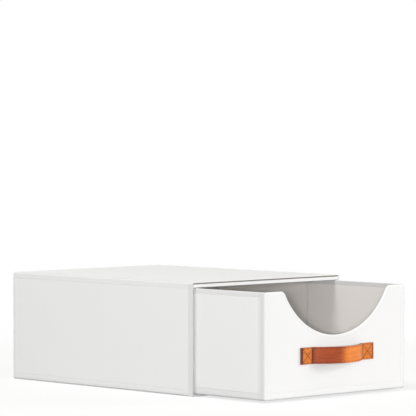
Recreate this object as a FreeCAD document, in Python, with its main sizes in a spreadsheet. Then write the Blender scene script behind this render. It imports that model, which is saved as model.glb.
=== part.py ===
import FreeCAD, Part
import math
import os
import re
import Sketcher

# Stackable drawer box: a cloth-covered board sleeve, open at the front, and a drawer that slides in it.
# Millimetres. X is across the mouth, the mouth faces -Y, and +Z is up. The origin is the middle of
# the sleeve's underside. The drawer is pulled out by the amount named below.

# Driving dimensions: name, value, what it is
SIZES = [
    ("sleeve_width", 305, "outside of the sleeve across the mouth"),
    ("sleeve_depth", 400, "outside of the sleeve from mouth to back"),
    ("sleeve_height", 164, "outside of the sleeve from floor to top"),
    ("skin", 0.7, "outer cloth cover"),
    ("board", 1.9, "stiff board in each panel"),
    ("lining", 0.4, "inner lining"),
    ("edge_round", 3, "outside radius along the folded edges"),
    ("fold_play", 0.4, "room beside a board's edge at a fold, beyond the next board"),
    ("strip_depth", 9, "how far the mouth strips reach back from the mouth"),
    ("strip_web", 0.8, "front wall of a mouth strip"),
    ("lip_face", 5, "height of the top mouth strip's front face"),
    ("groove_depth", 1.3, "how far the top board stays behind the mouth, which leaves an open groove"),
    ("side_play", 3.5, "air on each side of the drawer"),
    ("floor_play", 0.3, "running gap under the drawer"),
    ("head_play", 0.5, "running gap over the drawer"),
    ("back_play", 2, "air behind the shut drawer"),
    ("pull_out", 140, "how far the drawer is drawn out"),
    ("cover_wrap", 7, "how far the front and back covers turn round onto the drawer's sides"),
    ("hem_drop", 7, "how far the covers turn down inside the drawer's free edges"),
    ("scoop_radius", 119.5, "radius of the half-round scoop in the drawer's front"),
    ("scoop_drop", 66.5, "depth of the scoop below the drawer's top edge"),
    ("scoop_round", 10, "radius of the corners where the scoop meets the top edge"),
    ("fold_slit", 1.5, "slit between the two boards of a folding drawer side"),
    ("base_play", 0.6, "air round the loose base board"),
    ("seam_wide", 0.9, "width of a pressed seam line"),
    ("seam_deep", 0.25, "depth of a pressed seam line"),
    ("seam_inset", 9, "seam line from the sleeve's edges"),
    ("drawer_seam_inset", 10, "seam line from the drawer front's sides and bottom"),
    ("side_seam_inset", 8, "seam line on the drawer's sides, from the end covers"),
    ("strap_length", 150, "pull strap from end to end"),
    ("strap_tall", 24, "height of the pull strap"),
    ("strap_tab", 24, "length of each sewn-down end of the strap"),
    ("strap_lift", 24, "how far the strap's bow stands out from the drawer's front"),
    ("strap_foot", 14, "radius where the bow leaves the sewn ends"),
    ("strap_centre", 59, "height of the strap's middle over the drawer's underside"),
    ("outer_ply", 1.3, "outer leather ply"),
    ("inner_ply", 1.1, "inner leather ply"),
    ("overrun", 20, "how far a cutting solid runs past what it cuts"),
]

# Values that follow from the driving dimensions
DERIVED = [
    ("wall", "skin + board + lining"),
    ("half_width", "sleeve_width / 2"),
    ("half_depth", "sleeve_depth / 2"),
    ("fold_gap", "max(board + fold_play; edge_round - skin)"),
    ("cover_turn", "max(edge_round; wall)"),
    ("strip_back", "strip_depth - half_depth"),
    ("lip_top", "sleeve_height - skin - board"),
    ("lip_low", "lip_top - lip_face"),
    ("floor_top", "wall"),
    ("drawer_low", "floor_top + floor_play"),
    ("drawer_top", "lip_low - head_play"),
    ("drawer_half", "half_width - wall - side_play"),
    ("drawer_front", "-half_depth - pull_out"),
    ("drawer_back", "half_depth - wall - back_play - pull_out"),
    ("drawer_middle", "(drawer_front + drawer_back) / 2"),
    ("hem_line", "drawer_top - hem_drop"),
    ("inside_front", "drawer_front + wall"),
    ("inside_back", "drawer_back - wall"),
    ("inside_half", "drawer_half - wall"),
    ("wrap_front", "drawer_front + cover_wrap"),
    ("wrap_back", "drawer_back - cover_wrap"),
    ("scoop_centre", "drawer_top + scoop_radius - scoop_drop"),
    ("round_rise", "scoop_radius - scoop_drop + scoop_round"),
    ("round_reach", "scoop_radius + scoop_round"),
    ("round_x", "sqrt(round_reach ^ 2 - round_rise ^ 2)"),
    ("base_half", "inside_half - base_play"),
    ("base_low", "drawer_low + skin"),
    ("base_front", "inside_front + base_play"),
    ("base_back", "inside_back - base_play"),
    ("base_top", "base_low + board + lining"),
    ("strap_half", "strap_length / 2"),
    ("bow_half", "strap_half - strap_tab"),
    ("bow_rise", "strap_lift - outer_ply - inner_ply"),
    ("bow_turn", "2 * atan(bow_rise / bow_half)"),
    ("bow_radius", "bow_half / sin(bow_turn) - strap_foot"),
    ("strap_low", "drawer_low + strap_centre - strap_tall / 2"),
]

os.makedirs("parts", exist_ok=True)
doc = FreeCAD.newDocument("StackableDrawerBox")
sheet = doc.addObject("Spreadsheet::Sheet", "Sizes")
for row, (name, size, note) in enumerate(SIZES, start=1):
    sheet.set(f"A{row}", note)
    sheet.set(f"B{row}", str(size))
    sheet.setAlias(f"B{row}", name)
for row, (name, formula) in enumerate(DERIVED, start=len(SIZES) + 1):
    sheet.set(f"A{row}", name)
    sheet.set(f"B{row}", "=" + formula)
    sheet.setAlias(f"B{row}", name)
doc.recompute()

NAMES = {name for name, *rest in SIZES + DERIVED}
SIDES = (("left", -1), ("right", 1))
PARTS = []


def rule(text):
    """The expression that reads the named sizes in text from the sheet."""
    return re.sub(r"[a-z_]\w*", lambda word: ("Sizes." if word.group() in NAMES else "") + word.group(), text)


def value(text):
    """The present value of a rule, as a plain number."""
    result = sheet.evalExpression(rule(text))
    return float(getattr(result, "Value", result))


def keep(shape_object, node):
    """Name a finished sub-part."""
    shape_object.Label = node
    PARTS.append(shape_object)
    return shape_object


def block(name, x, y, z):
    """A box between two named places on each axis."""
    box = doc.addObject("Part::Box", name)
    for axis, side, (low, high) in zip("xyz", ("Length", "Width", "Height"), (x, y, z)):
        box.setExpression(side, rule(f"({high}) - ({low})"))
        box.setExpression(f"Placement.Base.{axis}", rule(low))
    return box


def cut(name, base, *tools):
    """Base without each tool in turn."""
    for count, tool in enumerate(tools, start=1):
        step = doc.addObject("Part::Cut", name if count == len(tools) else f"{name}_less_{count}")
        step.Base, step.Tool = base, tool
        base = step
    return base


def common(name, base, tool):
    """What base and tool share."""
    both = doc.addObject("Part::Common", name)
    both.Base, both.Tool = base, tool
    return both


def fuse(name, *pieces):
    """Touching pieces as one solid, with no lines left where their faces meet."""
    whole = doc.addObject("Part::MultiFuse", name)
    whole.Shapes = list(pieces)
    whole.Refine = True
    return whole


def origin_plane(body, role):
    """One of a body's own origin planes."""
    return next(plane for plane in body.Origin.OriginFeatures if plane.Role == role)


def sketch_path(body, role, height, path):
    """A closed outline of lines and arcs on an origin plane, raised by a rule. Each step of the path is
    (x, y) for a line to that point, or (x, y, radius, side) for an arc to it, whose centre is to the
    left of the way there where side is 1, and to the right where it is -1."""
    sketch = body.newObject("Sketcher::SketchObject", body.Name + "_outline")
    sketch.AttachmentSupport = [(origin_plane(body, role), "")]
    sketch.MapMode = "FlatFace"
    sketch.setExpression("AttachmentOffset.Base.z", rule(height))
    points = [FreeCAD.Vector(value(step[0]), value(step[1]), 0) for step in path]
    for index, step in enumerate(path):
        start, end = points[index - 1], points[index]
        if len(step) == 2:
            sketch.addGeometry(Part.LineSegment(start, end))
            continue
        radius, side = value(step[2]), step[3]
        chord = end - start
        across = FreeCAD.Vector(-chord.y, chord.x, 0).normalize()
        centre = (start + end) / 2 + across * side * math.sqrt(radius ** 2 - (chord.Length / 2) ** 2)
        first, last = (start, end) if side > 0 else (end, start)
        turns = [math.atan2(point.y - centre.y, point.x - centre.x) for point in (first, last)]
        circle = Part.Circle(centre, FreeCAD.Vector(0, 0, 1), radius)
        sketch.addGeometry(Part.ArcOfCircle(circle, *turns))
    for index, step in enumerate(path):
        following = (index + 1) % len(path)
        end_vertex = 1 if step[3:] == (-1,) else 2
        start_vertex = 2 if path[following][3:] == (-1,) else 1
        sketch.addConstraint(Sketcher.Constraint("Coincident", index, end_vertex, following, start_vertex))
        for kind, coordinate, text in (("DistanceX", points[index].x, step[0]),
                                       ("DistanceY", points[index].y, step[1])):
            number = sketch.addConstraint(Sketcher.Constraint(kind, -1, 1, index, end_vertex, coordinate))
            sketch.setExpression(f"Constraints[{number}]", rule(text))
        if len(step) > 2:
            number = sketch.addConstraint(Sketcher.Constraint("Radius", index, value(step[2])))
            sketch.setExpression(f"Constraints[{number}]", rule(step[2]))
    return sketch


def slab(name, role, height, path, thickness, both_ways=False):
    """A body padded from one outline."""
    body = doc.addObject("PartDesign::Body", name)
    sketch = sketch_path(body, role, height, path)
    pad = body.newObject("PartDesign::Pad", name + "_pad")
    pad.Profile = sketch
    pad.Midplane = both_ways
    pad.setExpression("Length", rule(thickness))
    doc.recompute()
    return body


def rounded(name, x, y, z, radius, open_side):
    """A block whose edges are rounded, but for those round its open side."""
    (x_low, x_high), (y_low, y_high), (z_low, z_high) = x, y, z
    corners = [(x_high, y_low), (x_high, y_high), (x_low, y_high), (x_low, y_low)]
    body = slab(name, "XY_Plane", z_low, corners, f"({z_high}) - ({z_low})")
    pad = body.Tip
    direction, place = open_side
    flat = value(place)
    round_edges = []
    for number, edge in enumerate(pad.Shape.Edges, start=1):
        ends = [getattr(vertex.Point, direction) for vertex in edge.Vertexes]
        if max(abs(end - flat) for end in ends) > value("skin"):
            round_edges.append(f"Edge{number}")
    fillet = body.newObject("PartDesign::Fillet", name + "_rounding")
    fillet.Base = (pad, round_edges)
    fillet.setExpression("Radius", rule(radius))
    body.Tip = fillet
    doc.recompute()
    return body


def ring(name, x, y, z, flat_axis):
    """A pressed seam line: a shallow frame, as deep as the block is on its flat axis."""
    outer = block(name + "_outside", x, y, z)
    sides = [span if axis == flat_axis else (f"{span[0]} + seam_wide", f"{span[1]} - seam_wide")
             for axis, span in zip("xyz", (x, y, z))]
    return cut(name, outer, block(name + "_inside", *sides))


def side_span(half, sign, outer, inner):
    """The X range between two depths under the left (-1) or right (1) face of a box of this half width."""
    places = [f"({sign}) * ({half} - ({depth}))" for depth in (outer, inner)]
    return tuple(places if sign < 0 else reversed(places))


# Sleeve
skin_x = ("-half_width + skin", "half_width - skin")
outer_sleeve = rounded("sleeve_outside", ("-half_width", "half_width"), ("-half_depth", "half_depth"),
                       ("0", "sleeve_height"), "edge_round", ("y", "-half_depth"))
inner_sleeve = rounded("sleeve_inside", skin_x, ("-half_depth - overrun", "half_depth - skin"),
                       ("skin", "sleeve_height - skin"), "edge_round - skin", ("y", "-half_depth - overrun"))
sleeve_skin = cut("sleeve_skin", outer_sleeve, inner_sleeve)

# Side covers turn round the long edges and the back edges; the mouth strips take their front ends
for side, sign in SIDES:
    x_turn = side_span("half_width", sign, "0", "cover_turn")
    zone = block(f"{side}_zone", x_turn, ("-half_depth", "half_depth"), ("0", "sleeve_height"))
    strip_room = block(f"{side}_strip_room", x_turn, ("-half_depth", "strip_back"), ("0", "lip_top"))
    seam = ring(f"{side}_seam", side_span("half_width", sign, "0", "seam_deep"),
                ("strip_back - overrun", "half_depth - seam_inset"),
                ("seam_inset", "sleeve_height - seam_inset"), "x")
    keep(cut(f"sleeve_{side}_cover", common(f"{side}_skin", sleeve_skin, zone), strip_room, seam),
         f"sleeve_{side}_cover")
    keep(block(f"sleeve_{side}_board", side_span("half_width", sign, "skin", "skin + board"),
               ("-half_depth + strip_web", "half_depth - skin - fold_gap"),
               ("skin + fold_gap", "sleeve_height - skin - fold_gap")), f"sleeve_{side}_board")
    keep(block(f"sleeve_{side}_lining", side_span("half_width", sign, "skin + board", "wall"),
               ("strip_back", "half_depth - wall"), ("wall", "sleeve_height - wall")),
         f"sleeve_{side}_lining")

# Top, bottom and back panels lie between the side covers
flat_x = ("-half_width + cover_turn", "half_width - cover_turn")
board_x = ("-half_width + skin + fold_gap", "half_width - skin - fold_gap")
lining_x = ("-half_width + skin + board", "half_width - skin - board")
seam_x = ("-half_width + seam_inset", "half_width - seam_inset")

top_flat = block("top_flat", flat_x, ("-half_depth", "half_depth - cover_turn"),
                 ("sleeve_height - skin", "sleeve_height"))
top_seam = ring("top_seam", seam_x, ("-half_depth + seam_inset", "half_depth - seam_inset"),
                ("sleeve_height - seam_deep", "sleeve_height"), "z")
keep(cut("sleeve_top_cover", top_flat, top_seam), "sleeve_top_cover")
keep(block("sleeve_top_board", board_x, ("-half_depth + groove_depth", "half_depth - skin - fold_gap"),
           ("sleeve_height - skin - board", "sleeve_height - skin")), "sleeve_top_board")
keep(block("sleeve_top_lining", lining_x, ("strip_back", "half_depth - wall"),
           ("sleeve_height - wall", "sleeve_height - wall + lining")), "sleeve_top_lining")

bottom_flat = block("bottom_flat", flat_x, ("strip_back", "half_depth - cover_turn"), ("0", "skin"))
bottom_seam = ring("bottom_seam", seam_x, ("strip_back - overrun", "half_depth - seam_inset"),
                   ("0", "seam_deep"), "z")
keep(cut("sleeve_bottom_cover", bottom_flat, bottom_seam), "sleeve_bottom_cover")
keep(block("sleeve_bottom_board", board_x, ("-half_depth + strip_web", "half_depth - skin - fold_gap"),
           ("skin", "skin + board")), "sleeve_bottom_board")
keep(block("sleeve_bottom_lining", lining_x, ("strip_back", "half_depth - wall"),
           ("skin + board", "wall")), "sleeve_bottom_lining")

back_zone = block("back_zone", flat_x, ("half_depth - cover_turn", "half_depth"), ("0", "sleeve_height"))
back_seam = ring("back_seam", seam_x, ("half_depth - seam_deep", "half_depth"),
                 ("seam_inset", "sleeve_height - seam_inset"), "y")
keep(cut("sleeve_back_cover", common("back_skin", sleeve_skin, back_zone), back_seam), "sleeve_back_cover")
keep(block("sleeve_back_board", board_x, ("half_depth - skin - board", "half_depth - skin"),
           ("skin + fold_gap", "sleeve_height - skin - fold_gap")), "sleeve_back_board")
keep(block("sleeve_back_lining", lining_x, ("half_depth - wall", "half_depth - skin - board"),
           ("skin + board", "sleeve_height - skin - board")), "sleeve_back_lining")

# Mouth strips: channels that bind the boards' front edges, and a plain lip under the top board
strip_y = ("-half_depth", "strip_back")
behind_web = ("-half_depth + strip_web", "strip_back")
for side, sign in SIDES:
    strip = common(f"{side}_strip_blank", outer_sleeve,
                   block(f"{side}_strip_zone", side_span("half_width", sign, "0", "cover_turn"), strip_y,
                         ("0", "lip_top")))
    channel = block(f"{side}_channel", side_span("half_width", sign, "skin", "skin + board"), behind_web,
                    ("skin + fold_gap", "sleeve_height"))
    keep(cut(f"mouth_strip_{side}", strip, channel), f"mouth_strip_{side}")
bottom_strip = block("bottom_strip_blank", flat_x, strip_y, ("0", "wall"))
bottom_channel = block("bottom_channel", board_x, behind_web, ("skin", "skin + board"))
keep(cut("mouth_strip_bottom", bottom_strip, bottom_channel), "mouth_strip_bottom")
keep(block("mouth_strip_top", flat_x, strip_y, ("lip_low", "lip_top")), "mouth_strip_top")

# Drawer
outer_drawer = rounded("drawer_outside", ("-drawer_half", "drawer_half"), ("drawer_front", "drawer_back"),
                       ("drawer_low", "drawer_top"), "edge_round", ("z", "drawer_top"))
inner_drawer = rounded("drawer_inside", ("-drawer_half + skin", "drawer_half - skin"),
                       ("drawer_front + skin", "drawer_back - skin"),
                       ("drawer_low + skin", "drawer_top - skin"), "edge_round - skin",
                       ("z", "drawer_top - skin"))
drawer_air = block("drawer_air", ("-inside_half", "inside_half"), ("inside_front", "inside_back"),
                   ("hem_line", "drawer_top + overrun"))


def scoop(name, inset):
    """The half-round scoop in the drawer's front, and the room over the top edge, both brought into
    the panel by an inset."""
    share = f"((scoop_radius + {inset}) / round_reach)"
    bend_x = f"round_x * {share}"
    bend_z = f"scoop_centre - round_rise * {share}"
    top, far = f"drawer_top - {inset}", "drawer_half + overrun"
    path = [(f"-({far})", top), ("-round_x", top),
            (f"-{bend_x}", bend_z, f"scoop_round - {inset}", -1),
            (bend_x, bend_z, f"scoop_radius + {inset}", 1),
            ("round_x", top, f"scoop_round - {inset}", -1),
            (far, top), (far, "drawer_top + overrun"), (f"-({far})", "drawer_top + overrun")]
    return slab(name, "XZ_Plane", "-drawer_front", path, "4 * wall", both_ways=True)


free_edge = scoop("scoop", "0")
free_edge_web = scoop("scoop_web", "skin")
free_edge_hem = scoop("scoop_hem", "hem_drop")
free_edge_seam = scoop("scoop_seam", "(hem_drop + seam_wide)")


def end_cover(name, zone_y, board_y, lining_y, room_y, edge, web, hem):
    """The cover of the drawer's front or back: it turns round onto the sides and over the free edge,
    and leaves room for the board and the lining."""
    across = ("-drawer_half", "drawer_half")
    upward = ("drawer_low", "drawer_top")
    blank = common(name + "_blank", outer_drawer, block(name + "_zone", across, zone_y, upward))
    layers = []
    for layer, y, trim in (("board", board_y, web), ("lining", lining_y, hem)):
        space = block(f"{name}_{layer}_space", across, y, upward)
        layers.append(cut(f"{name}_{layer}_room", common(f"{name}_{layer}_layer", inner_drawer, space), trim))
    room = common(name + "_room", inner_drawer, block(name + "_room_zone", across, room_y, upward))
    return cut(name + "_turned", blank, edge, *layers, room, drawer_air)


back_span = ("wrap_back - overrun", "drawer_back + overrun")
wide_x = ("-drawer_half - overrun", "drawer_half + overrun")
back_edge = block("back_edge", wide_x, back_span, ("drawer_top", "drawer_top + overrun"))
back_web = block("back_web", wide_x, back_span, ("drawer_top - skin", "drawer_top + overrun"))
back_hem = block("back_hem", wide_x, back_span, ("hem_line", "drawer_top + overrun"))

front_turned = end_cover("front_cover", ("drawer_front", "wrap_front"),
                         ("drawer_front + skin", "drawer_front + skin + board"),
                         ("drawer_front + skin + board", "inside_front"), ("inside_front", "wrap_front"),
                         free_edge, free_edge_web, free_edge_hem)


def front_seam_edge(name, inset, trim):
    """The drawer front's face inside its seam line, at an inset from its sides and bottom."""
    face = block(name + "_face", (f"-drawer_half + {inset}", f"drawer_half - ({inset})"),
                 ("drawer_front", "drawer_front + seam_deep"), (f"drawer_low + {inset}", "drawer_top"))
    return cut(name, face, trim)


front_seam = cut("front_seam", front_seam_edge("front_seam_outside", "drawer_seam_inset", free_edge_hem),
                 front_seam_edge("front_seam_inside", "drawer_seam_inset + seam_wide", free_edge_seam))
keep(cut("drawer_front_cover", front_turned, front_seam), "drawer_front_cover")

back_turned = end_cover("back_cover", ("wrap_back", "drawer_back"),
                        ("drawer_back - skin - board", "drawer_back - skin"),
                        ("inside_back", "drawer_back - skin - board"), ("wrap_back", "inside_back"),
                        back_edge, back_web, back_hem)
back_drawer_seam = ring("back_drawer_seam",
                        ("-drawer_half + drawer_seam_inset", "drawer_half - drawer_seam_inset"),
                        ("drawer_back - seam_deep", "drawer_back"),
                        ("drawer_low + drawer_seam_inset", "hem_line"), "y")
keep(cut("drawer_back_cover", back_turned, back_drawer_seam), "drawer_back_cover")

# Boards and linings of the drawer's front and back
end_board_x = ("-drawer_half + skin + fold_gap", "drawer_half - skin - fold_gap")
end_lining_x = ("-drawer_half + skin + board", "drawer_half - skin - board")
lining_z = ("drawer_low + skin + fold_gap", "hem_line")
keep(cut("drawer_front_board", block("front_board_blank", end_board_x,
                                     ("drawer_front + skin", "drawer_front + skin + board"),
                                     ("drawer_low + skin + fold_gap", "drawer_top")), free_edge_web),
     "drawer_front_board")
keep(cut("drawer_front_lining", block("front_lining_blank", end_lining_x,
                                      ("drawer_front + skin + board", "inside_front"),
                                      ("drawer_low + skin + fold_gap", "drawer_top")), free_edge_hem),
     "drawer_front_lining")
keep(block("drawer_back_board", end_board_x, ("drawer_back - skin - board", "drawer_back - skin"),
           ("drawer_low + skin + fold_gap", "drawer_top - skin")), "drawer_back_board")
keep(block("drawer_back_lining", end_lining_x, ("inside_back", "drawer_back - skin - board"), lining_z),
     "drawer_back_lining")

# Sides of the drawer: each folds at its middle, between a fore and a rear board
drawer_skin = cut("drawer_skin", outer_drawer, inner_drawer, drawer_air)
for side, sign in SIDES:
    zone = block(f"{side}_drawer_zone", side_span("drawer_half", sign, "0", "cover_turn"),
                 ("wrap_front", "wrap_back"), ("drawer_low", "drawer_top"))
    turned = common(f"{side}_drawer_skin", drawer_skin, zone)
    hem = block(f"{side}_hem", side_span("drawer_half", sign, "skin + board", "wall"),
                ("inside_front", "inside_back"), ("hem_line", "drawer_top - skin"))
    seam = ring(f"{side}_drawer_seam", side_span("drawer_half", sign, "0", "seam_deep"),
                ("wrap_front + side_seam_inset", "wrap_back - side_seam_inset"),
                ("drawer_low + drawer_seam_inset", "hem_line"), "x")
    keep(cut(f"drawer_{side}_cover", fuse(f"{side}_drawer_turned", turned, hem), seam),
         f"drawer_{side}_cover")
    for half, y in (("fore", ("drawer_front + skin + fold_gap", "drawer_middle - fold_slit / 2")),
                    ("rear", ("drawer_middle + fold_slit / 2", "drawer_back - skin - fold_gap"))):
        node = f"drawer_{side}_{half}_board"
        keep(block(node, side_span("drawer_half", sign, "skin", "skin + board"), y,
                   ("drawer_low + skin + fold_gap", "drawer_top - skin")), node)
    keep(block(f"drawer_{side}_lining", side_span("drawer_half", sign, "skin + board", "wall"),
               ("inside_front", "inside_back"), lining_z), f"drawer_{side}_lining")

# Bottom cover and the loose base that lies on it
keep(block("drawer_bottom_cover", ("-drawer_half + cover_turn", "drawer_half - cover_turn"),
           ("wrap_front", "wrap_back"), ("drawer_low", "drawer_low + skin")), "drawer_bottom_cover")
keep(block("drawer_base_board", ("-base_half", "base_half"), ("base_front", "base_back"),
           ("base_low", "base_low + board")), "drawer_base_board")
keep(block("drawer_base_lining", ("-base_half", "base_half"), ("base_front", "base_back"),
           ("base_low + board", "base_top")), "drawer_base_lining")


def strap_ply(name, near, far):
    """One ply of the pull strap, from one height over the drawer's front to another: flat sewn ends
    and a bow of tangent arcs between them."""
    def foot(level, sign):
        """Where a foot arc meets the bow, on one side."""
        return (f"({sign}) * (bow_half - (strap_foot - ({level})) * sin(bow_turn))",
                f"drawer_front - (strap_foot - (strap_foot - ({level})) * cos(bow_turn))")

    def level_y(level):
        """The flat ends' place at one height over the front."""
        return f"drawer_front - ({level})"

    path = [("-strap_half", level_y(near)), ("-bow_half", level_y(near)),
            (*foot(near, -1), f"strap_foot - ({near})", -1), (*foot(near, 1), f"bow_radius + ({near})", 1),
            ("bow_half", level_y(near), f"strap_foot - ({near})", -1), ("strap_half", level_y(near)),
            ("strap_half", level_y(far)), ("bow_half", level_y(far)),
            (*foot(far, 1), f"strap_foot - ({far})", 1), (*foot(far, -1), f"bow_radius + ({far})", -1),
            ("-bow_half", level_y(far), f"strap_foot - ({far})", 1), ("-strap_half", level_y(far))]
    return keep(slab(name, "XY_Plane", "strap_low", path, "strap_tall"), name)


strap_ply("handle_inner_ply", "0", "inner_ply")
strap_ply("handle_outer_ply", "inner_ply", "inner_ply + outer_ply")

doc.recompute()
for item in doc.Objects:
    if "Invalid" in item.State or "Error" in item.State:
        raise RuntimeError(f"{item.Label} failed: {item.State}")
for piece in PARTS:
    if piece.Shape.isNull() or not piece.Shape.isValid() or not piece.Shape.Solids:
        raise RuntimeError(f"{piece.Label} has no valid solid")
for piece in PARTS:
    piece.Shape.exportStep(f"parts/{piece.Label}.step")
    print(f"{piece.Label}: {len(piece.Shape.Solids)} solid, {piece.Shape.Volume:.0f} mm3")
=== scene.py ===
"""Looks of a stackable drawer box.

A sleeve of cloth-covered boards is open at the front. A drawer with a half-round scoop and a leather
pull strap slides in it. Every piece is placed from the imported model, in metres: X runs across the
mouth, the mouth faces -Y, and +Z is up.
"""

from __future__ import annotations

import logging
import math
from collections.abc import Callable, Iterable
from dataclasses import dataclass, field
from enum import Enum

import bmesh
import bpy
from bmesh.types import BMEdge, BMesh, BMVert
from bpy.types import Material, Node, NodeSocket, NodeTree, Object
from mathutils import Matrix, Vector, noise
from mathutils.geometry import intersect_point_line

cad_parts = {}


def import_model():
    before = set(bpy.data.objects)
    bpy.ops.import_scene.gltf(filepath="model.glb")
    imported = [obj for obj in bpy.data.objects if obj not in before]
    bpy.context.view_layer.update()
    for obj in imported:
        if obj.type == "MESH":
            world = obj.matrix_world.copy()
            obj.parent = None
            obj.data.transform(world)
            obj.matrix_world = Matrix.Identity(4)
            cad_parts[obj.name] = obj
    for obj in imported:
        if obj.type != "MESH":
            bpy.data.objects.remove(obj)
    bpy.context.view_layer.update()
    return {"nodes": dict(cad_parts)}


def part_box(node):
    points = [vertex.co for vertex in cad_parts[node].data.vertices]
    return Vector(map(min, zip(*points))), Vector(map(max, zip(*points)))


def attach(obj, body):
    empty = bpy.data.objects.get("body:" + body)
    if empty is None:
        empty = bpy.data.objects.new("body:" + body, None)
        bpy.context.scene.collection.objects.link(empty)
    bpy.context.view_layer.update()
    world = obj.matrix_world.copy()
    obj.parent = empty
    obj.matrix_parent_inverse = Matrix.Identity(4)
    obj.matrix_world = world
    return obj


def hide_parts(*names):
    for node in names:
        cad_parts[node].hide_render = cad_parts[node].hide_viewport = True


LOG = logging.getLogger("drawer_box")
MM = 0.001
NEAR = 0.00005
X, Y, Z = Vector((1, 0, 0)), Vector((0, 1, 0)), Vector((0, 0, 1))
# Per-vertex attribute that darkens cloth: where it lies in two layers, and painted shade in creases, at
# joints and corners, and on shadowed strip faces.
DARKENING = "doubling"
Colour = tuple[float, float, float, float]


class Side(Enum):
    """One of two sides, by the sign of an axis."""

    @property
    def word(self) -> str:
        """The word in the names of this side's pieces."""
        return self.name.lower()


class Hand(Side):
    """The two sides of the box, by the sign of X."""

    LEFT = -1
    RIGHT = 1


class End(Side):
    """The two ends of the drawer, by the sign of Y."""

    FRONT = -1
    BACK = 1


class Slot(Enum):
    """The material slots."""

    COVER = "cover_cloth"
    BINDING = "edge_binding"
    BOARD = "stiff_board"
    LINING = "lining_cloth"
    STRAP = "strap_leather"


def tone(red: int, green: int, blue: int) -> Colour:
    """A colour as Blender's shaders hold it.

    Args:
        red, green, blue: The colour on a screen, from 0 to 255.

    Returns:
        The same colour on a linear scale, with an alpha of 1.
    """
    def linear(level: int) -> float:
        """One channel on a linear scale."""
        share = level / 255
        return share / 12.92 if share <= 0.04045 else ((share + 0.055) / 1.055) ** 2.4
    return linear(red), linear(green), linear(blue), 1.0


WHITE = tone(255, 255, 255)


def shade(colour: Colour, share: float) -> Colour:
    """A colour at a share of its brightness."""
    return tuple(share * level for level in colour[:3]) + (1.0,)


class NodeBoard:
    """A new material and the nodes that are laid out for it."""

    def __init__(self, name: str, coordinates: str = "Object") -> None:
        """Starts a material with its shader.

        Args:
            name: The material's name.
            coordinates: Which of the piece's coordinates its patterns follow.
        """
        self.material = bpy.data.materials.new(name)
        self.material.use_nodes = True
        self.tree = self.material.node_tree
        self.shader = self.tree.nodes["Principled BSDF"]
        self.place = self.add("TexCoord").outputs[coordinates]

    def feed(self, node: Node, inputs: dict) -> Node:
        """Sets or links a node's inputs.

        Args:
            node: The node.
            inputs: Socket name or number, with a plain value or another node's output.

        Returns:
            The node.
        """
        for socket, source in inputs.items():
            if isinstance(source, NodeSocket):
                self.tree.links.new(source, node.inputs[socket])
            else:
                node.inputs[socket].default_value = source
        return node

    def add(self, kind: str, inputs: dict | None = None, **settings: object) -> Node:
        """Adds a node.

        Args:
            kind: The node's type without its prefix, such as TexNoise.
            inputs: What feed takes.
            settings: The node's own settings.

        Returns:
            The new node.
        """
        node = self.tree.nodes.new("ShaderNode" + kind)
        for name, setting in settings.items():
            setattr(node, name, setting)
        return self.feed(node, inputs or {})

    def math(self, operation: str, first: object, second: object = 0.0) -> NodeSocket:
        """The output of a Math node on two values."""
        return self.add("Math", {0: first, 1: second}, operation=operation).outputs[0]

    def plus(self, base: object, part: NodeSocket, share: float) -> NodeSocket:
        """A level with a share of another added."""
        return self.math("ADD", base, self.math("MULTIPLY", part, share))

    def mean(self, first: NodeSocket, second: NodeSocket) -> NodeSocket:
        """The level half way between two."""
        return self.math("MULTIPLY", self.math("ADD", first, second), 0.5)

    def ramp(self, level: NodeSocket, low: float, high: float, first: float = 0.0, last: float = 1.0,
             kind: str = "SMOOTHSTEP") -> NodeSocket:
        """A level that runs from first to last while another runs from low to high."""
        run = {"Value": level, 1: low, 2: high, 3: first, 4: last}
        return self.add("MapRange", run, interpolation_type=kind).outputs[0]

    def stretched(self, *scale: float) -> NodeSocket:
        """The material's coordinates at another scale along each axis."""
        return self.add("Mapping", {"Vector": self.place, "Scale": scale}).outputs[0]

    def cloud(self, scale: float, detail: float, place: NodeSocket | None = None,
              **more: float) -> NodeSocket:
        """The level of a Noise Texture, at the material's coordinates unless a place is given."""
        inputs = {"Vector": self.place if place is None else place, "Scale": scale, "Detail": detail}
        return self.add("TexNoise", inputs | more).outputs["Fac"]

    def cells(self, scale: float, feature: str = "F1", **more: float) -> NodeSocket:
        """The distance of a Voronoi Texture."""
        inputs = {"Vector": self.place, "Scale": scale, **more}
        return self.add("TexVoronoi", inputs, feature=feature).outputs["Distance"]

    def blend(self, share: object, first: object, second: object, kind: str = "MIX") -> NodeSocket:
        """The output of a colour Mix node."""
        colours = {0: share, 6: first, 7: second}
        return self.add("Mix", colours, data_type="RGBA", blend_type=kind).outputs[2]

    def doubled(self, plain: NodeSocket, double: Colour) -> NodeSocket:
        """A colour that goes to another by the mesh's attribute: cloth in two layers, and painted shade."""
        return self.blend(self.add("Attribute", attribute_name=DARKENING).outputs["Fac"], plain, double)

    def relief(self, height: NodeSocket, distance: float, strength: float) -> None:
        """Raises the shader's surface by a height map."""
        bump = self.add("Bump", {"Height": height, "Distance": distance, "Strength": strength})
        self.feed(self.shader, {"Normal": bump.outputs["Normal"]})

    def surface(self, colour: NodeSocket, roughness: object, specular: float = 0.5,
                sheen: float = 0.0) -> Material:
        """Sets the shader, and gives the finished material."""
        self.feed(self.shader, {"Base Color": colour, "Roughness": roughness, "Specular IOR Level": specular,
                                "Sheen Weight": sheen})
        return self.material


@dataclass(frozen=True)
class Finish:
    """What every finish has."""

    name: str
    colour: Colour


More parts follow.
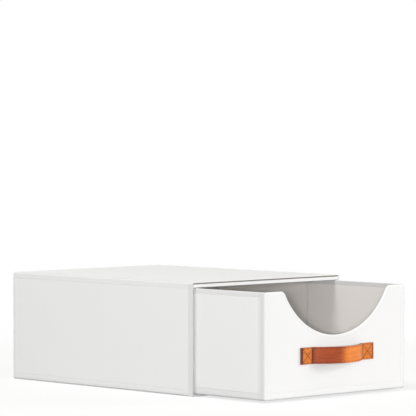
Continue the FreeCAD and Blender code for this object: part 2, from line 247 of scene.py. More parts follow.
@dataclass(frozen=True)
class Cloth(Finish):
    """A plain-woven cloth with slubs, and a greyer cast where it lies in two layers and where shade is
    painted.
    """

    thread_pitch: float = 0.5 * MM
    thread_relief: float = 0.035 * MM
    slub_share: float = 0.35
    slub_stretch: tuple[float, float] = (60, 1400)
    thin_shade: float = 0.965
    double_shade: float = 0.69
    roughness: float = 0.92
    sheen: float = 0.12

    def build(self) -> Material:
        """The cloth as a material that follows the piece's UV map, which is in metres."""
        board = NodeBoard(self.name, "UV")
        threads = {"Vector": board.place, "Scale": math.pi / 10 / (2 * self.thread_pitch),
                   "Distortion": 0.6, "Detail": 1.0, "Detail Scale": 0.3}
        weave = [board.add("TexWave", threads, bands_direction=way).outputs["Fac"] for way in "XY"]
        crossing = board.math("MULTIPLY", *(board.math("SUBTRACT", wave, 0.5) for wave in weave))
        slubs = [board.cloud(1.0, 2.0, board.stretched(*scale, 1))
                 for scale in (self.slub_stretch, self.slub_stretch[::-1])]
        slub = board.math("MULTIPLY", board.math("ADD", *slubs), self.slub_share)
        board.relief(board.math("ADD", crossing, slub), self.thread_relief, 1.0)
        cast = board.mean(board.cloud(9.0, 3.0), slub)
        plain = board.blend(cast, self.colour, shade(self.colour, self.thin_shade))
        # Darker where the mesh's attribute says: two layers of cloth, and painted shade at joints, corners
        # and shadowed strip faces.
        colour = board.doubled(plain, shade(self.colour, self.double_shade))
        return board.surface(colour, self.roughness, 0.25, self.sheen)


@dataclass(frozen=True)
class Felted(Finish):
    """A soft non-woven lining of pressed fibres."""

    fibre: float = 0.7 * MM
    fibre_relief: float = 0.06 * MM
    thin_shade: float = 0.94
    fold_shade: float = 0.66
    roughness: float = 0.95

    def build(self) -> Material:
        """The lining as a material on Object coordinates."""
        board = NodeBoard(self.name)
        fibres = board.cloud(1 / self.fibre, 4.0, Roughness=0.65, Distortion=1.5)
        board.relief(board.plus(fibres, board.cells(0.4 / self.fibre), 0.3), self.fibre_relief, 1.0)
        cast = board.mean(fibres, board.cloud(14.0, 3.0))
        plain = board.blend(cast, self.colour, shade(self.colour, self.thin_shade))
        # Painted shade in the crease of the side linings, by the mesh's attribute.
        return board.surface(board.doubled(plain, shade(self.colour, self.fold_shade)), self.roughness, 0.2)


@dataclass(frozen=True)
class Greyboard(Finish):
    """Stiff board of waste paper, with flecks."""

    fleck: Colour
    fibre_scale: float = 900.0
    fleck_scale: float = 420.0
    fleck_reach: float = 0.16

    def build(self) -> Material:
        """The board as a material on Object coordinates."""
        board = NodeBoard(self.name)
        fibres = board.cloud(self.fibre_scale, 5.0)
        dark = board.math("LESS_THAN", board.cells(self.fleck_scale), self.fleck_reach)
        share = board.plus(board.math("MULTIPLY", fibres, 0.35), dark, 0.5)
        board.relief(fibres, 0.05 * MM, 0.8)
        return board.surface(board.blend(share, self.colour, self.fleck), 0.95, 0.2)


@dataclass(frozen=True)
class Patch:
    """A stretch of leather with light and shade painted into its colour, by its places along X in
    millimetres.
    """

    colour: Colour
    begins: float
    full: float
    fades: float
    ends: float


@dataclass(frozen=True)
class Leather(Finish):
    """Tanned leather with a fine grain, streaks along the strap, and stretches of painted shade and
    highlight.
    """

    patches: tuple[Patch, ...] = ()
    patch_fray: float = 5 * MM
    grain: float = 0.9 * MM
    grain_relief: float = 0.09 * MM
    pore_scale: float = 2200.0
    streak_stretch: tuple[float, float, float] = (45, 45, 900)
    streaky: float = 0.3
    roughness: float = 0.5
    gloss_swing: float = 0.16

    def build(self) -> Material:
        """The leather as a material on Object coordinates."""
        board = NodeBoard(self.name)
        across = board.add("SeparateXYZ", {"Vector": board.place}).outputs["X"]
        uneven = board.cloud(90.0, 4.0)
        shifted = board.plus(across, board.math("SUBTRACT", uneven, 0.5), self.patch_fray)
        colour = self.colour
        # The patches paint shade and highlight into the colour.
        for patch in self.patches:
            rise = board.ramp(shifted, patch.begins * MM, patch.full * MM)
            fall = board.ramp(shifted, patch.fades * MM, patch.ends * MM, 1.0, 0.0)
            colour = board.blend(board.math("MULTIPLY", rise, fall), colour, patch.colour)
        streaks = board.cloud(1.0, 3.0, board.stretched(*self.streak_stretch))
        grain = board.cells(1 / self.grain, "DISTANCE_TO_EDGE", Randomness=0.9)
        height = board.plus(board.plus(grain, board.cloud(self.pore_scale, 3.0), 0.35), streaks, 0.5)
        board.relief(height, self.grain_relief, 0.8)
        level = board.ramp(streaks, 0.3, 0.7, 1 - self.streaky, 1 + self.streaky / 2, "LINEAR")
        gloss = board.plus(self.roughness - self.gloss_swing / 2, uneven, self.gloss_swing)
        return board.surface(board.blend(1.0, colour, level, "MULTIPLY"), gloss, 0.2)


@dataclass(frozen=True)
class EdgePaint(Finish):
    """The dark sealed edge of cut leather."""

    layer_shade: float = 0.6

    def build(self) -> Material:
        """The edge as a material on Object coordinates."""
        board = NodeBoard(self.name)
        layers = board.cloud(700.0, 3.0)
        board.relief(layers, 0.06 * MM, 0.6)
        return board.surface(board.blend(layers, self.colour, shade(self.colour, self.layer_shade)), 0.5)


@dataclass(frozen=True)
class Thread(Finish):
    """Sewing thread, with its twist."""

    twist_shade: float = 0.7
    roughness: float = 0.75
    sheen: float = 0.1

    def build(self) -> Material:
        """The thread as a material on Object coordinates."""
        board = NodeBoard(self.name)
        twist = board.add("TexWave", {"Vector": board.place, "Scale": 900.0, "Distortion": 1.0},
                          bands_direction="DIAGONAL").outputs["Fac"]
        board.relief(twist, 0.04 * MM, 0.6)
        colour = board.blend(twist, self.colour, shade(self.colour, self.twist_shade))
        return board.surface(colour, self.roughness, sheen=self.sheen)


class Finishes:
    """Every finish of the box, built once."""

    def __init__(self) -> None:
        """Builds the materials."""
        self.cover = Cloth("off_white_cover", tone(237, 237, 237)).build()
        self.binding = Cloth("mouth_binding", tone(234, 234, 234), thread_pitch=0.4 * MM).build()
        self.lining = Felted("warm_grey_lining", tone(222, 218, 214)).build()
        self.board = Greyboard("grey_board", tone(132, 128, 122), tone(96, 92, 87)).build()
        # Painted shade on the left half of the bow.
        painted_light_and_shade = (Patch(tone(159, 71, 34), -53.5, -51, -19, -1),
                # Painted shadow where the bow rises from the left tab.
                Patch(tone(118, 48, 27), -55, -53.5, -51.5, -50),
                # Painted shade at the left end.
                Patch(tone(118, 46, 30), -90, -80, -73.2, -71.8),
                # Painted highlight on the right half of the bow.
                Patch(tone(240, 139, 60), -12, 5, 34, 46),
                # Painted shade at the right end.
                Patch(tone(186, 90, 42), 71.5, 73, 80, 90))
        self.leather = Leather("tan_leather", tone(214, 119, 45), painted_light_and_shade).build()
        self.backing = Leather("leather_flesh_side", tone(132, 92, 64), roughness=0.75).build()
        self.edge = EdgePaint("leather_edge", tone(104, 52, 40)).build()
        self.tab_thread = Thread("dark_brown_thread", tone(92, 40, 26)).build()
        self.row_thread = Thread("russet_thread", tone(118, 45, 20)).build()
        self.cover_thread = Thread("off_white_thread", tone(238, 238, 236)).build()


@dataclass
class Measures:
    """Sizes and places that several pieces share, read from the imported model."""

    scoop_radius: float = 119.5 * MM
    scoop_drop: float = 66.5 * MM
    scoop_round: float = 10 * MM
    cover_wrap: float = 7 * MM
    seam_wide: float = 0.9 * MM
    seam_deep: float = 0.35 * MM
    fold_deep: float = 1.2 * MM
    grid: float = 8 * MM

    def __post_init__(self) -> None:
        """Reads the boxes of the nodes."""
        self.sleeve_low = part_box("sleeve_left_cover")[0]
        self.sleeve_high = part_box("sleeve_right_cover")[1]
        top_low, top_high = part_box("sleeve_top_cover")
        self.turn = top_low.x - self.sleeve_low.x
        self.skin = top_high.z - top_low.z
        lip_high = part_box("mouth_strip_top")[1]
        self.lip_top, self.strip_back = lip_high.z, lip_high.y
        left_low, left_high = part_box("drawer_left_cover")
        front_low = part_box("drawer_front_cover")[0]
        back_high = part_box("drawer_back_cover")[1]
        self.drawer_low = Vector((left_low.x, front_low.y, front_low.z))
        self.drawer_high = Vector((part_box("drawer_right_cover")[1].x, back_high.y, left_high.z))
        self.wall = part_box("drawer_left_lining")[1].x - self.drawer_low.x
        self.wrap_front = self.drawer_low.y + self.cover_wrap
        self.wrap_back = self.drawer_high.y - self.cover_wrap
        self.drawer_middle = (self.drawer_low.y + self.drawer_high.y) / 2
        self.fold_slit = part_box("drawer_left_rear_board")[0].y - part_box("drawer_left_fore_board")[1].y


def only(kind: type, items: Iterable) -> list:
    """The items of one kind, such as the edges among what an operator made."""
    return [item for item in items if isinstance(item, kind)]


def axes_across(normal: Vector) -> list[Vector]:
    """The axes that lie in a face with this normal."""
    return [axis for axis in (X, Y, Z) if abs(axis.dot(normal)) < 0.5]


def cuboid(low: Vector, high: Vector) -> BMesh:
    """A closed box between two corners."""
    mesh = bmesh.new()
    place = Matrix.Translation((low + high) / 2) @ Matrix.Diagonal((*(high - low), 1))
    bmesh.ops.create_cube(mesh, size=1, matrix=place)
    return mesh


def bevel(mesh: BMesh, items: list, radius: float, segments: int, affect: str = "EDGES") -> None:
    """Rounds some edges or corners of a mesh.

    Args:
        mesh: The mesh.
        items: The edges or vertices to round.
        radius: The radius of the rounding.
        segments: How many faces go round it.
        affect: Which of the two they are: EDGES or VERTICES.
    """
    bmesh.ops.bevel(mesh, geom=items, offset=radius, offset_type="OFFSET", segments=segments, profile=0.5,
                    affect=affect, clamp_overlap=True, material=-1)


def cut_at(mesh: BMesh, axis: Vector, places: Iterable[float]) -> None:
    """Cuts a mesh along planes square to an axis, and keeps both sides.

    Args:
        mesh: The mesh.
        axis: The planes' normal.
        places: Where on that axis the planes lie.
    """
    for place in places:
        geometry = mesh.verts[:] + mesh.edges[:] + mesh.faces[:]
        bmesh.ops.bisect_plane(mesh, geom=geometry, dist=NEAR, plane_co=axis * place, plane_no=axis,
                               use_snap_center=True)


def keep_faces(mesh: BMesh, test: Callable[[Vector], bool]) -> None:
    """Deletes the faces whose centre fails a test."""
    gone = [face for face in mesh.faces if not test(face.calc_center_median())]
    bmesh.ops.delete(mesh, geom=gone, context="FACES")


def extent(mesh: BMesh, axis: Vector) -> tuple[float, float]:
    """Where a mesh begins and ends along an axis."""
    places = [vertex.co.dot(axis) for vertex in mesh.verts]
    return min(places), max(places)


def spread(low: float, high: float, step: float) -> list[float]:
    """Places between two ends, about one step apart."""
    count = max(1, round((high - low) / step))
    return [low + (high - low) * index / count for index in range(1, count)]


def grid_cuts(mesh: BMesh, step: float, axes: Iterable[Vector]) -> None:
    """Cuts a mesh by planes square to each axis, about one step apart."""
    for axis in axes:
        cut_at(mesh, axis, spread(*extent(mesh, axis), step))


def face_outwards(mesh: BMesh, inside: Vector) -> None:
    """Turns the faces of an open sheet away from a point that it goes round.

    Args:
        mesh: The sheet.
        inside: The point.
    """
    bmesh.ops.recalc_face_normals(mesh, faces=mesh.faces[:])
    outward = sum(face.calc_area() * face.normal.dot(face.calc_center_median() - inside)
                  for face in mesh.faces)
    if outward < 0:
        bmesh.ops.reverse_faces(mesh, faces=mesh.faces[:])


def ruffle(mesh: BMesh, amount: float, length: float, seed: float) -> None:
    """Draws a sheet in a little, unevenly, as cloth on board lies.

    Args:
        mesh: The sheet.
        amount: The most that a point moves in.
        length: About how long the waves are.
        seed: Moves the pattern, so that panels differ.
    """
    mesh.normal_update()
    moves = {vertex: vertex.normal * amount * (0.5 + 0.5 * noise.noise(vertex.co / length + Z * seed))
             for vertex in mesh.verts}
    for vertex, move in moves.items():
        vertex.co -= move


def map_threads(mesh: BMesh) -> None:
    """Gives each face a UV map in metres along the two axes that it faces least."""
    layer = mesh.loops.layers.uv.verify()
    mesh.normal_update()
    for face in mesh.faces:
        facing = [abs(part) for part in face.normal]
        drop = facing.index(max(facing))
        for loop in face.loops:
            loop[layer].uv = [part for index, part in enumerate(loop.vert.co) if index != drop]


def mark_double(mesh: BMesh, share: Callable[[Vector], float]) -> None:
    """Writes how dark the cloth is drawn at each point, from 0 to 1: two layers of cloth, and painted shade.
    """
    layer = mesh.verts.layers.float.new(DARKENING)
    for vertex in mesh.verts:
        vertex[layer] = max(0.0, min(1.0, share(vertex.co)))


@dataclass(frozen=True)
class Seam:
    """A straight line of stitches on a flat face."""

    start: Vector
    end: Vector
    normal: Vector

    @property
    def along(self) -> Vector:
        """The seam's direction."""
        return (self.end - self.start).normalized()

    @property
    def length(self) -> float:
        """The seam's length."""
        return (self.end - self.start).length

    def cut(self, mesh: BMesh, wide: float) -> None:
        """Cuts a mesh along the seam's middle and its two edges.

        Args:
            mesh: The mesh.
            wide: How far apart the edges are.
        """
        across = Vector([abs(part) for part in self.normal.cross(self.along)])
        place = self.start.dot(across)
        cut_at(mesh, across, (place - wide / 2, place, place + wide / 2))

    def press(self, mesh: BMesh, deep: float, through: float = 0.0) -> None:
        """Sinks the mesh along the seam's middle.

        Args:
            mesh: The mesh.
            deep: How far it sinks.
            through: How thick the mesh is where its back sinks with it.
        """
        length = self.length
        for vertex in mesh.verts:
            foot, share = intersect_point_line(vertex.co, self.start, self.end)
            if (vertex.co - foot).length < through + NEAR and -NEAR < share * length < length + NEAR:
                vertex.co -= self.normal * deep

    def mirrored(self, hand: Hand) -> Seam:
        """The seam on this hand, from the left one."""
        flip = Vector((-hand.value, 1, 1))
        return Seam(self.start * flip, self.end * flip, self.normal * flip)


@dataclass(frozen=True)
class Stitches:
    """Stitches of one thread, set along lines at an even pitch."""

    pitch: float
    length: float
    thick: float
    detail: int = 1

    def one(self, mesh: BMesh, place: Vector, along: Vector, normal: Vector) -> None:
        """Adds one stitch.

        Args:
            mesh: The mesh that gets the stitch.
            place: The stitch's middle.
            along: Its direction.
            normal: The direction out of the cloth.
        """
        side = normal.cross(along).normalized()
        basis = Matrix((along.normalized(), side, normal.normalized())).transposed().to_4x4()
        sizes = Matrix.Diagonal((self.length / 2, self.thick / 2, self.thick / 2, 1))
        bmesh.ops.create_icosphere(mesh, subdivisions=self.detail, radius=1,
                                   matrix=Matrix.Translation(place) @ basis @ sizes)

    def sew(self, mesh: BMesh, seams: Iterable[Seam], sink: float) -> None:
        """Sews straight seams.

        Args:
            mesh: The mesh that gets the stitches.
            seams: The seams.
            sink: How far the stitches' middles lie under the face.
        """
        for seam in seams:
            count = max(1, int(seam.length / self.pitch))
            for index in range(count):
                place = seam.start + seam.along * seam.length * (index + 0.5) / count - seam.normal * sink
                self.one(mesh, place, seam.along, seam.normal)

    def chain(self, mesh: BMesh, points: list[Vector], normal: Vector, sink: float) -> None:
        """Sews along a bent line on a flat face.

        Args:
            mesh: The mesh that gets the stitches.
            points: The line's points in order.
            normal: The face's normal.
            sink: How far the stitches' middles lie under the face.
        """
        runs = [(first, second, (second - first).length) for first, second in zip(points, points[1:])]
        step = sum(length for *_, length in runs)
        step /= max(1, round(step / self.pitch))
        ahead = step / 2
        for first, second, length in runs:
            while ahead < length:
                self.one(mesh, first.lerp(second, ahead / length) - normal * sink, second - first, normal)
                ahead += step
            ahead -= length


COVER_STITCHES = Stitches(pitch=4.2 * MM, length=3.4 * MM, thick=0.35 * MM)


@dataclass
class Piece:
    """What a finished mesh needs to become a piece of the object, such as the node it stands for."""

    name: str
    mesh: BMesh
    materials: list
    body: str
    slot: Slot
    node: str = ""
    thickness: float = 0.0
    softening: float = 0.0
    soft_angle: float = 50.0
    cut: tuple[float, float] | None = None
    sewn: list = field(default_factory=list)
    whole_share: float = 0.9

    def finish(self) -> Object:
        """Makes the object, its modifiers and its place in the frame.

        Returns:
            The new object.
        """
        data = bpy.data.meshes.new(self.name)
        area = sum(face.calc_area() for face in self.mesh.faces)
        self.mesh.to_mesh(data)
        self.mesh.free()
        for material in self.materials:
            data.materials.append(material)
        data.shade_smooth()
        thing = bpy.data.objects.new(self.name, data)
        bpy.context.scene.collection.objects.link(thing)
        if self.thickness:
            shell = thing.modifiers.new("thickness", "SOLIDIFY")
            shell.thickness, shell.offset, shell.use_even_offset = self.thickness, -1, True
        if self.softening:
            soft = thing.modifiers.new("soft_edges", "BEVEL")
            soft.width, soft.segments, soft.limit_method = self.softening, 2, "ANGLE"
            soft.angle_limit = math.radians(self.soft_angle)
            thing.modifiers.new("even_shading", "WEIGHTED_NORMAL").keep_sharp = True
        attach(thing, self.body)
        if self.node:
            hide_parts(self.node)
        if self.cut:
            self.board()
        LOG.info("%s rides on %s", self.name, self.body)
        return thing

    def board(self) -> str:
        """The board that a cover or lining is stretched on."""
        stem = self.node.rsplit("_", 1)[0]
        return {"drawer_left": "drawer_left_fore_board", "drawer_right": "drawer_right_fore_board",
                "drawer_bottom": "drawer_base_board"}.get(stem, stem + "_board")


@dataclass
class Assembly:
    """What the sub-assemblies share, and how they make their pieces."""

    measures: Measures
    finishes: Finishes
    body: str = "drawer"
    rim_softening: float = 0.2 * MM
    felt_softening: float = 0.12 * MM
    seam_sink: float = 0.6
    thread_sink: float = 0.4

    def threads(self, name: str, mesh: BMesh, thread: Material, slot: Slot) -> Object:
        """Makes a piece of some stitches."""
        return Piece(name + "_stitching", mesh, [thread], self.body, slot).finish()

    def press_seams(self, mesh: BMesh, seams: Iterable[Seam]) -> None:
        """Cuts a cover along its seams and sinks it there."""
        for seam in seams:
            seam.cut(mesh, self.measures.seam_wide)
        for seam in seams:
            seam.press(mesh, self.measures.seam_deep)

    def cover_piece(self, name: str, sheet: BMesh, threads: BMesh, cut: tuple[float, float]) -> None:
        """Makes pieces of a cover and its stitches.

        Args:
            name: The cover's node.
            sheet: Its outer face, which gets its thickness here.
            threads: Its stitches.
            cut: The size that the cloth was cut to.
        """
        sewing = self.threads(name, threads, self.finishes.cover_thread, Slot.COVER)
        Piece(name + "_cloth", sheet, [self.finishes.cover], self.body, Slot.COVER, name, self.measures.skin,
              self.rim_softening, cut=cut, sewn=[sewing]).finish()

    def flat_sheet(self, name: str, crease: Seam | None = None) -> None:
        """Makes a flat lining, or a flat cover, in its node's place.

        Args:
            name: The node.
            crease: A line along which it is pressed into the slit between two boards, with painted shade.
        """
        size = self.measures
        low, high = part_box(name)
        mesh = cuboid(low, high)
        axes = [axis for axis in (X, Y, Z) if (high - low).dot(axis) > size.grid]
        grid_cuts(mesh, 2 * size.grid, axes)
        if crease:
            for wide in (size.fold_slit - 2 * NEAR, 3 * size.fold_slit):
                crease.cut(mesh, wide)
            # Painted shade along the crease, fading out to each side.
            mark_double(mesh, lambda point: 1 - abs(point.y - crease.start.y) / (1.5 * size.fold_slit))
            crease.press(mesh, size.fold_deep, high.x - low.x)
        map_threads(mesh)
        dress = ("_cloth", Slot.COVER, self.finishes.cover, self.rim_softening)
        if name.endswith("_lining"):
            dress = ("_felt", Slot.LINING, self.finishes.lining, self.felt_softening)
        word, slot, material, softening = dress
        Piece(name + word, mesh, [material], self.body, slot, name, softening=softening,
              cut=tuple((high - low).dot(axis) for axis in axes)).finish()


@dataclass
class Sleeve(Assembly):
    """The outer case: five covered boards, their linings, and the strips that bind the mouth."""

    body: str = "sleeve"
    rim_softening: float = 0.22 * MM
    seam_inset: float = 9 * MM
    round_faces: int = 6
    waviness: float = 0.16 * MM
    wave_length: float = 45 * MM
    edge_share: float = 0.25
    strip_fold: float = 1.1 * MM
    strip_faces: int = 4
    strip_foot_share: float = 0.8
    upright_double: tuple[float, float] = (0.8, 0.3)
    level_double: tuple[float, float] = (0.0, 0.5)

    def shell(self) -> BMesh:
        """The outer sheet of the whole case: a rounded box that is open at the front.

        Returns:
            The sheet, cut along the edges of the strips.
        """
        size = self.measures
        mesh = cuboid(size.sleeve_low, size.sleeve_high)
        keep_faces(mesh, lambda centre: centre.y > size.sleeve_low.y + NEAR)
        bevel(mesh, [edge for edge in mesh.edges if not edge.is_boundary], size.turn, self.round_faces)
        cut_at(mesh, Y, [size.strip_back])
        cut_at(mesh, Z, [size.lip_top])
        return mesh

    def frame_seams(self, low: Vector, high: Vector, normal: Vector, runs_on: bool) -> list[Seam]:
        """Seams round a face, a set distance inside its edges.

        Args:
            low, high: The corners of the face.
            normal: The face's normal.
            runs_on: Whether the seams run on to the face's front instead of turning there.

        Returns:
            The seams.
        """
        first, second = across = axes_across(normal)
        near, far = Vector(low), Vector(high)
        for axis in across:
            near += axis * (0 if runs_on and axis == Y else self.seam_inset)
            far -= axis * self.seam_inset
        reach = far - near
        corners = [near, near + first * reach.dot(first), far, near + second * reach.dot(second)]
        return [Seam(start, end, normal) for start, end in zip(corners, corners[1:] + corners[:1])
                if not runs_on or max(start.y, end.y) > near.y + NEAR]

    def cover(self, word: str, low: Vector, high: Vector, normal: Vector, keep: Callable[[Vector], bool],
              double: Callable[[Vector], float] = lambda point: 0.0, runs_on: bool = False) -> None:
        """Makes one cover, and the stitches in its seams.

        Args:
            word: The word in its name.
            low, high: The corners of its outer face.
            normal: That face's normal.
            keep: Says whether a face of the shell, by its centre, belongs to this cover.
            darkening: How dark the cloth is drawn at a point.
            runs_on: What frame_seams takes.
        """
        size, name, across = self.measures, f"sleeve_{word}_cover", axes_across(normal)
        seams = self.frame_seams(low, high, normal, runs_on)
        mesh = self.shell()
        keep_faces(mesh, keep)
        grid_cuts(mesh, size.grid, across)
        self.press_seams(mesh, seams)
        face_outwards(mesh, (size.sleeve_low + size.sleeve_high) / 2)
        ruffle(mesh, self.waviness, self.wave_length, len(name))
        mark_double(mesh, double)
        map_threads(mesh)
        threads = bmesh.new()
        COVER_STITCHES.sew(threads, seams, size.seam_deep * self.seam_sink)
        reach = [extent(mesh, axis) for axis in across]
        self.cover_piece(name, mesh, threads, tuple(last - first + size.turn for first, last in reach))

    def edge_double(self, point: Vector) -> float:
        """How dark a side cover is drawn: darker towards its back, top and bottom edges."""
        low, high = self.measures.sleeve_low, self.measures.sleeve_high
        gap = min(high.y - point.y, high.z - point.z, point.z - low.z)
        return max(0.0, 1 - gap / self.seam_inset) * self.edge_share

    def covers(self) -> None:
        """Makes the five covers."""
        size = self.measures
        low, high, front = size.sleeve_low, size.sleeve_high, size.strip_back
        between = high.x - size.turn
        for hand, side in zip(Hand, (low.x, high.x)):
            near, far = Vector((side, front, low.z)), Vector((side, high.y, high.z))
            self.cover(hand.word, near, far, X * hand.value,
                       lambda centre, sign=hand.value: centre.x * sign > between
                       and (centre.y > front or centre.z > size.lip_top), self.edge_double, runs_on=True)
        self.cover("top", Vector((low.x, low.y, high.z)), high, Z,
                   lambda centre: abs(centre.x) < between and centre.z > high.z - NEAR)
        self.cover("bottom", Vector((low.x, front, low.z)), Vector((high.x, high.y, low.z)), -Z,
                   lambda centre: abs(centre.x) < between and centre.z < low.z + NEAR and centre.y > front,
                   runs_on=True)
        self.cover("back", Vector((low.x, high.y, low.z)), high, Y,
                   lambda centre: abs(centre.x) < between and centre.y > high.y - size.turn)

    def strip(self, word: str) -> None:
        """Makes one of the strips that bind the mouth.

        Args:
            word: The word in its name.
        """
        size, name = self.measures, f"mouth_strip_{word}"
        low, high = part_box(name)
        upright = high.z - low.z > high.x - low.x
        mesh = cuboid(low, high)
        folds = [edge for edge in mesh.edges if edge.calc_length() > 2 * size.wall
                 and all(vertex.co.y < low.y + NEAR for vertex in edge.verts)]
        bevel(mesh, folds, self.strip_fold, self.strip_faces)
        if upright:
            feet = [edge for edge in mesh.edges
                    if all(vertex.co.z < low.z + NEAR and abs(vertex.co.x) > size.sleeve_high.x - NEAR
                           for vertex in edge.verts)]
            bevel(mesh, feet, size.turn * self.strip_foot_share, self.strip_faces)
        grid_cuts(mesh, size.grid, [Z if upright else X])
        # Painted shade: on the front faces of the side strips, where the drawer shadows them, and behind the
        # front fold of the top and bottom strips; the side strips' legs behind the fold get a lighter share.
        face_share, back_share = self.upright_double if upright else self.level_double
        mark_double(mesh, lambda point: back_share if point.y > low.y + self.strip_fold else face_share)
        map_threads(mesh)
        Piece(name + "_tape", mesh, [self.finishes.binding], self.body, Slot.BINDING, name,
              softening=self.rim_softening).finish()

    def build(self) -> None:
        """Makes every piece of the sleeve."""
        self.covers()
        for word in ("left", "right", "bottom", "top"):
            self.strip(word)
        for word in ("left", "right", "top", "bottom", "back"):
            self.flat_sheet(f"sleeve_{word}_lining")


class Sweep:
    """A line or sheet drawn by moving a point or an edge, straight or round a centre."""

    def __init__(self, mesh: BMesh) -> None:
        """Starts with all of a mesh as the moving edge."""
        self.mesh = mesh
        self.broadside()

    @classmethod
    def from_point(cls, start: Vector) -> Sweep:
        """A sweep that starts at a point."""
        mesh = bmesh.new()
        mesh.verts.new(start)
        return cls(mesh)

    def move(self, centre: Vector, axis: Vector, step: Vector, angle: float, steps: int) -> Sweep:
        """Carries the moving edge on.

        Args:
            centre: The centre of the turn.
            axis: Its axis.
            step: The straight part of each step.
            angle: The whole turn, in radians.
            steps: How many steps make it.

        Returns:
            The sweep itself.
        """
        made = bmesh.ops.spin(self.mesh, geom=self.moving, cent=centre, axis=axis, dvec=step, angle=angle,
                              space=Matrix.Identity(4), steps=steps, use_merge=False,
                              use_normal_flip=False, use_duplicate=False)
        self.moving = made["geom_last"]
        return self

    def go(self, way: Vector, steps: int = 1) -> Sweep:
        """Goes straight on."""
        return self.move(Vector(), Z, way / steps, 0.0, steps)

    def turn(self, centre: Vector, axis: Vector, degrees: float, steps: int) -> Sweep:
        """Turns round a centre."""
        return self.move(centre, axis, Vector(), math.radians(degrees), steps)

    def broadside(self) -> Sweep:
        """Takes the whole line drawn so far as the moving edge."""
        self.moving = self.mesh.verts[:] + self.mesh.edges[:]
        return self


